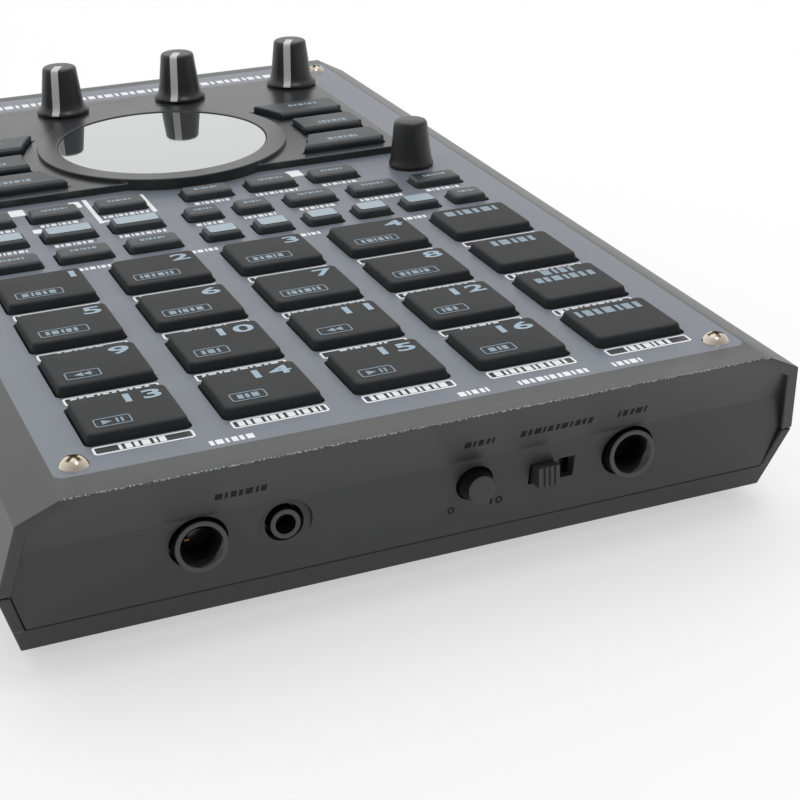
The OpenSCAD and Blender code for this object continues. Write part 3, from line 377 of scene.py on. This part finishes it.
def bar(x0, x1, y0, y1):
    """Plain rectangle."""
    return block(x0, x1, y0, y1, -PRINT_SINK, 0)


def slab(pts):
    """Any outline."""
    return loft([level(pts, z) for z in (-PRINT_SINK, 0)])


def plate(w, d, r):
    """Rectangle with round corners."""
    return slab(rounded(w, d, r))


def outline(w, d, r, t):
    """Rounded frame of line width t."""
    outer, inner = rounded(w, d, r), rounded(w - 2 * t, d - 2 * t, max(r - t, 0.05))
    low = -PRINT_SINK
    around = (outer, low), (outer, 0), (inner, 0), (inner, low), (outer, low)
    return loft([level(pts, z) for pts, z in around], foot=False, top=False)


def wording(shape, mat, place, w, h, start):
    """Row of plain upright bars of uneven width, in place of printed words."""
    bars, gaps, least = (0.3, 0.6, 0.42, 0.75), (0.3, 0.22, 0.26), 0.2
    x, k = -w / 2, start
    while x < w / 2 - least * h:
        end = min(x + bars[k % 4] * h, w / 2)
        shape.add(*bar(x, end, -h / 2, h / 2), mat, place)
        x = end + gaps[k % 3] * h
        k += 1


GLYPHS = {}


def glyph(text):
    """Slab of a number, one unit high, centred, with its front above zero and its back below."""
    if text not in GLYPHS:
        curve = bpy.data.curves.new("number", "FONT")
        curve.body = text
        curve.offset = 0.022
        curve.extrude = 0.01
        curve.space_character = 1.08
        curve.align_x, curve.align_y = "CENTER", "CENTER"
        obj = bpy.data.objects.new("number", curve)
        scene.collection.objects.link(obj)
        mesh = obj.to_mesh()
        pts = [v.co.copy() for v in mesh.vertices]
        faces = [list(p.vertices) for p in mesh.polygons]
        obj.to_mesh_clear()
        bpy.data.objects.remove(obj)
        bpy.data.curves.remove(curve)
        lo = Vector((min(p.x for p in pts), min(p.y for p in pts), 0))
        hi = Vector((max(p.x for p in pts), max(p.y for p in pts), 0))
        mid, tall = (lo + hi) / 2, hi.y - lo.y
        GLYPHS[text] = [(p - mid) / tall for p in pts], faces, (hi.x - lo.x) / tall
    return GLYPHS[text]


def number(shape, mat, place, text, h, stretch):
    """Number of height h, widened by a factor."""
    pts, faces, _ = glyph(text)
    verts = [(p.x * h * stretch, p.y * h, 0 if p.z > 0 else -PRINT_SINK) for p in pts]
    shape.add(verts, faces, mat, place)


# Pads

DIGIT_H, DIGIT_STRETCH, DIGIT_RIGHT, DIGIT_Y = 4.0, 1.75, 8.2, 4.6
BOX_LEFT, BOX_Y, BOX_D, BOX_R, BOX_LINE = -7.8, -4.5, 3.8, 0.7, 0.26
SHORT_BOX, LONG_BOX, BOX_SPARE, BOX_WORD_H = 7.5, 11.0, 3.0, 2.0

# Words on each function pad from the front, as (y, width, height, first bar)
FUNCTION_WORDS = (
    ((4.6, 17, 3.2, 0),),
    ((6.2, 8, 2.9, 3), (2.2, 15, 2.9, 1)),
    ((4.6, 12, 3.2, 2),),
    ((4.6, 15, 3.2, 3),),
)


def transport_marks(shape, back, place):
    """Play and pause marks, or two back marks, inside a pad's outlined box."""
    half = 1.0

    def arrow(x, s):
        pts = [(x - s * 0.6, -half), (x + s * 0.8, 0), (x - s * 0.6, half)]
        return slab(pts if s > 0 else pts[::-1])
    if back:
        forms = [arrow(-0.8, -1.3), arrow(1.0, -1.3)]
    else:
        forms = [arrow(-1.3, 1.5), bar(0.7, 1.15, -half, half), bar(1.7, 2.15, -half, half)]
    for form in forms:
        shape.add(*form, PALE, place)


for r in range(4):
    for c in range(5):
        s = Shape()
        here = at((c - 2) * COL, PAD_Y0 + PAD_D / 2 + r * ROW)
        s.add(*cushion(PAD_W, PAD_D, PAD_R, PAD_H, taper=0.4, edge=0.7, crown=0.1), PAD, here)
        top = here @ shift(0, 0, PAD_H + PRINT_UP)
        if c < 4:
            name = f"pad_{(3 - r) * 4 + c + 1}"
            text = name[4:]
            wide = glyph(text)[2] * DIGIT_H * DIGIT_STRETCH
            corner = top @ shift(DIGIT_RIGHT - wide / 2, DIGIT_Y)
            number(s, DIGIT, corner, text, DIGIT_H, DIGIT_STRETCH)
            box_w = SHORT_BOX if r < 2 else LONG_BOX
            mark = top @ shift(BOX_LEFT + box_w / 2, BOX_Y)
            s.add(*outline(box_w, BOX_D, BOX_R, BOX_LINE), PALE, mark)
            if r < 2 and c % 2 == 0:
                transport_marks(s, r == 1, mark)
            else:
                wording(s, PALE, mark, box_w - BOX_SPARE, BOX_WORD_H, c + r)
        else:
            name = f"function_pad_{4 - r}"
            for y, w, h, start in FUNCTION_WORDS[r]:
                wording(s, PALE, top @ shift(0, y), w, h, start)
        s.build(name + "_piece", name + "_body", [name])


# Small keys

LEFT_STEP, WIDE_STEP, NARROW_STEP = 17.5, 18.0, 13.5
LEFT_MID, RIGHT_START = -1.5 * COL + 0.3, -0.4
WINDOW_LESS_W, WINDOW_LESS_D, WINDOW_R, WINDOW_Y = 2.4, 2.9, 0.8, 0.2
KEY_WORD_SHARE, KEY_WORD_H = 0.5, 1.4


def left_keys():
    """Middle and width of each left key, the same in every row."""
    return [(LEFT_MID + i * LEFT_STEP, KEY_W) for i in (-1, 0, 1)]


def right_keys(row):
    """Middle and width of each right key in a row, counted from the front."""
    last = RIGHT_EDGE - KEY_NARROW / 2
    narrow = [(last - (5 - i) * NARROW_STEP, KEY_NARROW) for i in range(6)]
    if row == 1:
        return narrow
    if row == 2:
        last = RIGHT_EDGE - KEY_W / 2
        return narrow[:2] + [(last - (2 - i) * WIDE_STEP, KEY_W) for i in range(3)]
    return [(RIGHT_START + i * WIDE_STEP, KEY_W) for i in range(3)]


for row in (1, 2, 3):
    y = KEYS_Y0 + KEY_D / 2 + (row - 1) * KEY_PITCH
    for side, keys in (("left", left_keys()), ("right", right_keys(row))):
        s = Shape()
        name = f"{side}_keys_{row}"
        for i, (x, w) in enumerate(keys):
            here = at(x, y)
            s.add(*cushion(w, KEY_D, KEY_R, KEY_H, taper=0.35, edge=0.9, crown=0.12), KEY, here)
            top = here @ shift(0, 0, KEY_H + PRINT_UP)
            if (side == "right" and row == 1 and i < 5) or (side == "left" and row == 2):
                window = plate(w - WINDOW_LESS_W, KEY_D - WINDOW_LESS_D, WINDOW_R)
                s.add(*window, MILK, top @ shift(0, WINDOW_Y))
            else:
                wording(s, PALE, top, w * KEY_WORD_SHARE, KEY_WORD_H, i + row)
        s.build(name + "_piece", name + "_body", [name])


# Knobs

SKIRT_GAP = 0.5
POINTER_HALF, POINTER_UP, POINTER_TURN = 1.1, 0.03, math.radians(-30)


def pointer(profile, half, lift):
    """Inlaid line over the top and down one side of a turned knob, facing local -Y."""
    path = [(0.0, profile[-1][1] + lift), (half, profile[-1][1] + lift)]
    path += [(r + lift, z + lift * 0.4) for r, z in reversed(profile)]
    across = [half * k / 3 for k in range(-3, 4)]
    n = len(across)
    verts = [(x, -math.sqrt(max(r * r - x * x, 0)), z) for r, z in path for x in across]
    faces = [[i * n + k, i * n + k + 1, (i + 1) * n + k + 1, (i + 1) * n + k][::-1]
             for i in range(len(path) - 1) for k in range(n - 1)]
    return verts, faces


KNOB_SIDE = [
    (7.8, 0.0), (7.8, 0.45), (7.65, 0.8), (7.15, 1.15), (6.75, 1.6), (6.45, 2.2), (6.25, 3.0),
    (6.05, 4.4), (5.7, 7.5), (5.3, 10.8), (5.08, 12.8), (4.96, 13.2), (4.7, 13.5), (4.35, 13.66),
    (3.9, 13.7),
]
for i, x in enumerate(KNOB_X):
    s = Shape()
    name = f"control_knob_{i + 1}"
    here = at(x, KNOB_Y, DECK_H + SKIRT_GAP, POINTER_TURN)
    s.add(*lathe(KNOB_SIDE), KNOB, here)
    s.add(*pointer(KNOB_SIDE[1:], POINTER_HALF, POINTER_UP), LINE, here)
    s.build(name + "_piece", name + "_body", [name])

VALUE_SIDE = [
    (6.2, 0.0), (6.2, 0.5), (6.1, 0.85), (5.9, 1.3), (5.7, 2.2), (5.25, 6.0), (4.85, 9.6),
    (4.6, 11.6), (4.48, 12.05), (4.2, 12.36), (3.8, 12.5),
]
s = Shape()
s.add(*lathe(VALUE_SIDE), KNOB, at(VALUE_X, VALUE_Y, SKIRT_GAP))
s.build("value_knob_piece", "value_knob_body", ["value_knob"])

GAIN_X, GAIN_OUT = 11, 4.0
GAIN_END = WALL_Y + GAIN_OUT
GAIN_SIDE = [(3.7, 0.0), (3.7, WALL_Y), (3.12, GAIN_END - 0.5), (3.06, GAIN_END - 0.2)]
GAIN_CAP = [(3.06, GAIN_END - 0.2), (2.95, GAIN_END - 0.06), (2.75, GAIN_END)]
here = facing_front(GAIN_X, face_y(JACK_Z) + WALL_Y, JACK_Z)
s = Shape()
s.add(*lathe(GAIN_SIDE, top=False), KNOB, here)
s.add(*lathe(GAIN_CAP, foot=False), TAB, here)
s.build("gain_knob_piece", "gain_knob_body", ["gain_knob"])


# Sockets

AXIS_UP = 6.4
LARGE_OUT, SMALL_OUT = 2.4, 0.3
CONTACT = (-2.6, -0.9, -1.0, -0.6, -8.0, -6.0)


def mouths(front, rear, out):
    """Places of socket mouths that stand out of the front and the rear face."""
    places = [facing_front(x, face_y(JACK_Z) - out, JACK_Z) for x in front]
    return places + [facing_rear(x, REAR_FACE_Y + out, REAR_Z) for x in rear]


def jack(shape, place, bore, sleeve, mouth, body, reach, depth):
    """Sleeve with a rounded lip, glossy funnel and dark bore, before a block of three sizes; the
    sleeve's outer wall is near-black as painted shade.
    """
    lip, funnel = 0.25, -3.2
    side = [(sleeve, -reach - 1), (sleeve, -lip)]
    ring = [(sleeve, -lip), (sleeve - 0.3 * lip, -0.3 * lip), (sleeve - lip, 0),
            (mouth + 0.15, 0), (mouth, -0.1)]
    flare = [(mouth, -0.1), (mouth - 0.25 * (mouth - bore), -0.45), (bore + 0.2, -1.4),
             (bore, -1.9), (bore, funnel)]
    # The sleeve's outer wall takes the near-black of the hollows: painted shade, so the crescent
    # round each sleeve reads dark.
    for profile, mat in ((side, DARK), (ring, SLEEVE), (flare, GLOSS)):
        shape.add(*lathe(profile, foot=False, top=False), mat, place)
    shape.add(*lathe([(bore, funnel), (bore, -depth)], foot=False), DARK, place)
    wide, tall, long = body
    behind = block(-wide / 2, wide / 2, -AXIS_UP, tall - AXIS_UP, -reach - long, -reach)
    shape.add(*behind, GLOSS, place)


s = Shape()
for here in mouths(front=(-48.5, 47), rear=(-62, -44.5, -27, -9.5), out=LARGE_OUT):
    jack(s, here, bore=3.25, sleeve=5.45, mouth=4.45, body=(14.6, 12.6, 24),
         reach=WALL_Y + 4.5, depth=20)
    s.add(*block(*CONTACT), SPRING, here)
s.build("quarter_inch_jacks_piece", "housing", ["quarter_inch_jacks"])
s = Shape()
for here in mouths(front=(-30.5,), rear=(6, 18), out=SMALL_OUT):
    jack(s, here, bore=1.82, sleeve=3.2, mouth=2.15, body=(9, 10.4, 13),
         reach=WALL_Y + 2.4, depth=11)
s.build("mini_jacks_piece", "housing", ["mini_jacks"])


# Case and other CAD solids, with their edges rounded

CLOSE, NEAR, SEAT_MARGIN, SAME_POINT = 0.02, 0.1, 0.4, 0.0001
FLAT, BENT, BENT_IN_WALL = (math.radians(a) for a in (0.6, 30, 12))
ROUND_STEPS, RIM_SHARE = 3, 0.3


def copy_of(node, mat, mesh):
    """Puts a mesh in the place of a CAD node."""
    mesh.materials.clear()
    mesh.materials.append(mat)
    obj = bpy.data.objects.new(node + "_piece", mesh)
    scene.collection.objects.link(obj)
    body = next(b for b, names in frame["record"]["behaviour"]["bodies"].items() if node in names)
    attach(obj, body)
    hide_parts(node)
    return obj


def at_seat(point):
    """True for a point of the case on the upper edge of the panel's seat."""
    x, y, z = PANEL_INVERSE @ (point / MM)
    in_depth = PANEL_Y0 - SEAT_MARGIN < y < PANEL_Y1 + SEAT_MARGIN
    return abs(z) < CLOSE and abs(x) < PANEL_HALF + SEAT_MARGIN and in_depth


def in_lower_face(point):
    """True for a point of the case in the wall of the lower front face, which has the openings."""
    _, y, z = point / MM
    in_height = FACE_FOOT[1] - NEAR < z < FACE_CREASE[1] + NEAR
    return -CLOSE < y - face_y(z) < WALL_Y + NEAR and in_height


def on_rim(point):
    """True for a point of the case on the inner shoulder line of the front rim."""
    x, y, z = point / MM
    below_edge, before_crease = 0.5, 3.0
    in_height = RIM_SHOULDER[1] - 2 * NEAR < z < NOSE_Z - below_edge
    return abs(x) < RIM_SHOULDER[0] + NEAR and in_height and y < FACE_CREASE[0] - before_crease


def raise_face(bm):
    """Brings the front face of the case up to the front edge along the rim's shoulder lines."""
    slope = (FACE_TOP[0] - FACE_CREASE[0]) / (FACE_TOP[1] - FACE_CREASE[1])
    run = (RIM_SHOULDER[0] - RIM_TOP[0]) / (RIM_TOP[1] - RIM_SHOULDER[1])
    for side in (-1, 1):
        corner = []
        for v in bm.verts:
            x, y, z = v.co / MM
            spot = Vector((x * side, z))
            if y < FACE_CREASE[0] and (spot - Vector(RIM_TOP)).length < NEAR:
                corner.append(v)
            elif y > RIM_SPLIT_Y and (spot - Vector(RIM_SHOULDER)).length < 1.5 * CLOSE:
                v.co.y = (FACE_CREASE[0] + (z - FACE_CREASE[1]) * slope) * MM
        goal = Vector((side * (RIM_TOP[0] - (FACE_TOP[1] - RIM_TOP[1]) * run), *FACE_TOP))
        bmesh.ops.pointmerge(bm, verts=corner, merge_co=goal * MM)


def rounded_copy(node, mat, width):
    """Copy of a CAD node, flat faces joined, outward edges rounded but at seats and openings."""
    bm = bmesh.new()
    bm.from_mesh(frame["nodes"][node].data)
    bmesh.ops.remove_doubles(bm, verts=bm.verts, dist=SAME_POINT * MM)
    open_wall = {v for v in bm.verts if in_lower_face(v.co)}
    verts = [v for v in bm.verts if v not in open_wall]
    edges = [e for e in bm.edges if not open_wall.issuperset(e.verts)]
    bmesh.ops.dissolve_limit(bm, angle_limit=FLAT, verts=verts, edges=edges)
    if node == "upper_case":
        raise_face(bm)
    weight = bm.edges.layers.float.new("bevel_weight_edge")
    for e in bm.edges:
        in_wall = all(in_lower_face(v.co) for v in e.verts)
        bent = e.calc_face_angle(0) > (BENT_IN_WALL if in_wall else BENT)
        kept = in_wall or not e.is_convex or all(at_seat(v.co) for v in e.verts)
        e.smooth = not (bent and kept)
        share = RIM_SHARE if all(on_rim(v.co) for v in e.verts) else 1
        e[weight] = float(bent and not kept) * share
    mesh = bpy.data.meshes.new(node + "_piece")
    bm.to_mesh(mesh)
    bm.free()
    mesh.shade_smooth()
    obj = copy_of(node, mat, mesh)
    mod = obj.modifiers.new("round", "BEVEL")
    mod.width = width * MM
    mod.segments = ROUND_STEPS
    mod.limit_method = "WEIGHT"
    mod.use_clamp_overlap = False
    mod.miter_outer = "MITER_ARC"
    obj.modifiers.new("normals", "WEIGHTED_NORMAL").keep_sharp = True


rounded_copy("upper_case", CASE, width=0.4)
rounded_copy("lower_case", BASE, width=0.4)
rounded_copy("display_bezel", BEZEL, width=0.35)
for n in range(1, 7):
    rounded_copy(f"effect_button_{n}", KEY, width=0.5)
rounded_copy("display_lens", GLASS, width=0.15)

# The panel, grown to close the fitting gap round it
GROW = 0.17
half_y, mid_y = (PANEL_Y1 - PANEL_Y0) / 2, (PANEL_Y1 + PANEL_Y0) / 2
grow_x, grow_y = 1 + GROW / PANEL_HALF, 1 + GROW / half_y
plate_mesh = frame["nodes"]["top_panel"].data.copy()
for v in plate_mesh.vertices:
    x, y, z = PANEL_INVERSE @ (v.co / MM)
    v.co = PANEL @ Vector((x * grow_x, mid_y + (y - mid_y) * grow_y, z)) * MM
copy_of("top_panel", METAL, plate_mesh)

# Solids that keep their CAD shape
PLAIN = {
    "display_module": DARK, "panel_board": BOARD, "front_board": BOARD, "main_board": BOARD,
    "control_pots": STEEL, "slide_switches": STEEL, "usb_socket": STEEL, "dc_socket": GLOSS,
    "feet": RUBBER, "panel_screws": NICKEL, "case_screws": ZINC, "battery_contacts": STEEL,
    "input_switch_tab": TAB, "power_switch_tab": TAB, "battery_door": BASE,
}
for node, mat in PLAIN.items():
    data = frame["nodes"][node].data
    data.materials.clear()
    data.materials.append(mat)


# Print on the panel, the effect buttons and the front face

LABEL_W, LABEL_D, LABEL_R, LABEL_LINE, LABEL_BELOW = 20.2, 3.5, 0.8, 0.5, 2.75
LABEL_WORDS, LABEL_WORD_H = (10, 17.5, 17, 17, 11), 2.2
FIELD_W, FIELD_D, FIELD_R = LABEL_W - 2 * LABEL_LINE, LABEL_D - 2 * LABEL_LINE, 0.4
EDGE_WORDS = ((-39.3, 10), (11.8, 6.7), (30, 16), (47.7, 7.5))
EDGE_WORDS_Y, EDGE_WORD_H = 10.6, 2.0
SMALL_WORD_H, KEY_WORDS_BELOW = 1.8, 2.2
ROW_WORDS_X, ROW_WORDS_Y, ROW_WORD_W = (-41, -14, 13, 42), KEYS_Y0 - 4.6, 8
REAR_WORDS_Y = DECK_Y1 + 11.4
GUIDE_HALF, GUIDE_CROSS = 0.6, (-30.9, -17.1, 143.4, 144.6)
GUIDE_LINES = ((-31.5, 143, 163), (-16.5, 146, 161))
WHITE_PLATES = ((-50, 160, 4, 5), (-34.5, 160, 3, 5), (-48, 144, 2.4, 3), (27, 160, 4, 5))
WHITE_PLATE_R = 0.6
s = Shape()
for r in range(4):
    for c in range(5):
        here = at((c - 2) * COL, PAD_Y0 + r * ROW - LABEL_BELOW, PRINT_UP)
        s.add(*outline(LABEL_W, LABEL_D, LABEL_R, LABEL_LINE), INK, here)
        s.add(*plate(FIELD_W, FIELD_D, FIELD_R), FIELD, here)
        w = LABEL_WORDS[(c + 2 * r) % 5]
        wording(s, INK, here @ shift(0, 0, PRINT_UP), w, LABEL_WORD_H, c + r)
for x, w in EDGE_WORDS:
    wording(s, INK, at(x, EDGE_WORDS_Y, PRINT_UP), w, EDGE_WORD_H, round(w))
for row in (2, 3):
    y = KEYS_Y0 + (row - 1) * KEY_PITCH - KEY_WORDS_BELOW
    for i, (x, w) in enumerate(left_keys() + right_keys(row)):
        share = 0.75 if i % 2 else 0.9
        wording(s, INK, at(x, y, PRINT_UP), w * share, SMALL_WORD_H, i)
for x in ROW_WORDS_X:
    wording(s, INK, at(x, ROW_WORDS_Y, PRINT_UP), ROW_WORD_W, SMALL_WORD_H, start=1)
wording(s, INK, at(0, REAR_WORDS_Y, PRINT_UP), w=112, h=3.4, start=2)
for x, y0, y1 in GUIDE_LINES:
    s.add(*bar(-GUIDE_HALF, GUIDE_HALF, y0, y1), INK, at(x, 0, PRINT_UP))
s.add(*bar(*GUIDE_CROSS), INK, at(0, 0, PRINT_UP))
for x, y, w, h in WHITE_PLATES:
    s.add(*plate(w, h, WHITE_PLATE_R), INK, at(x, y, PRINT_UP))
s.build("panel_print", "housing")

EFFECT_MARKS = ((46.9, 174.2), (50.3, 190.8), (48, 210.6))
EFFECT_TOP, EFFECT_WORD_W, EFFECT_WORD_H = DECK_H + EFFECT_H, 9, 2.0
for n in range(6):
    x, y = EFFECT_MARKS[n % 3]
    here = at(x if n > 2 else -x, y, EFFECT_TOP + PRINT_UP)
    s = Shape()
    wording(s, PALE, here, EFFECT_WORD_W, EFFECT_WORD_H, n)
    s.build(f"effect_print_{n + 1}", f"effect_button_{n + 1}_body")

FACE_WORDS = ((-40.3, 10.9), (10.3, 6.7), (27.9, 16.6), (45.9, 7.5))
FACE_WORDS_Z, FACE_WORD_H = 32.2, 2.0
s = Shape()
for x, w in FACE_WORDS:
    wording(s, DARK, on_face(x, FACE_WORDS_Z, FACE_CREASE, FACE_TOP), w, FACE_WORD_H, round(w))
for text, x, z in (("0", 6.2, 15.2), ("10", 16.6, 15.4)):
    number(s, DARK, on_face(x, z, FACE_FOOT, FACE_CREASE), text, h=1.9, stretch=1.3)
s.build("front_marks", "housing")


# Floor and light


def seen(nodes, links):
    """One for rays from the camera, from mirrors and through glass, else zero."""
    path = nodes.new("ShaderNodeLightPath")
    total = maths(nodes, links, "ADD", path.outputs["Is Camera Ray"], path.outputs["Is Glossy Ray"])
    total = maths(nodes, links, "ADD", total, path.outputs["Is Transmission Ray"])
    return maths(nodes, links, "MINIMUM", total, 1.0)


FLOOR_HALF, FLOOR_GLOW = 4, 0.52
corners = [(x * FLOOR_HALF, y * FLOOR_HALF, 0) for x, y in ((-1, -1), (1, -1), (1, 1), (-1, 1))]
floor = bpy.data.objects.new("floor", bpy.data.meshes.new("floor"))
floor.data.from_pydata(corners, [], [[0, 1, 2, 3]])
scene.collection.objects.link(floor)
FLOOR = surface("floor_white", (0.42, 0.42, 0.42), 0.6, vary=0.01, grain=80, bump=0.0,
                blotch=3, spec=0.2)
floor.data.materials.append(FLOOR)
fn, fl = FLOOR.node_tree.nodes, FLOOR.node_tree.links
glow = fn["Principled BSDF"]
glow.inputs["Emission Color"].default_value = (1, 1, 1, 1)
fl.new(maths(fn, fl, "MULTIPLY", seen(fn, fl), FLOOR_GLOW), glow.inputs["Emission Strength"])

SKY_LEVEL, SKY_SLOPE = 0.85, 0.45
world = bpy.data.worlds.new("studio")
scene.world = world
world.use_nodes = True
wn, wl = world.node_tree.nodes, world.node_tree.links
sky = wn["Background"]
sky.inputs["Color"].default_value = (1, 1, 1, 1)
ray = wn.new("ShaderNodeTexCoord")
axes = wn.new("ShaderNodeSeparateXYZ")
wl.new(ray.outputs["Generated"], axes.inputs[0])
towards_rear = maths(wn, wl, "MULTIPLY", axes.outputs["Y"], SKY_SLOPE)
wl.new(maths(wn, wl, "ADD", towards_rear, SKY_LEVEL), sky.inputs["Strength"])


def lamp(name, energy, size, place, target):
    """Square area lamp of a power in watts, turned to its target."""
    data = bpy.data.lights.new(name, "AREA")
    data.energy = energy
    data.size = size
    obj = bpy.data.objects.new(name, data)
    obj.location = place
    obj.rotation_euler = (Vector(target) - Vector(place)).to_track_quat("-Z", "Y").to_euler()
    scene.collection.objects.link(obj)


lamp("softbox", energy=2, size=1.2, place=(0.3, 0.3, 1.35), target=(0, 0, 0.05))
lamp("front_lamp", energy=2, size=0.2, place=(0.2, -0.35, 1.15), target=(0, -0.1, 0.03))
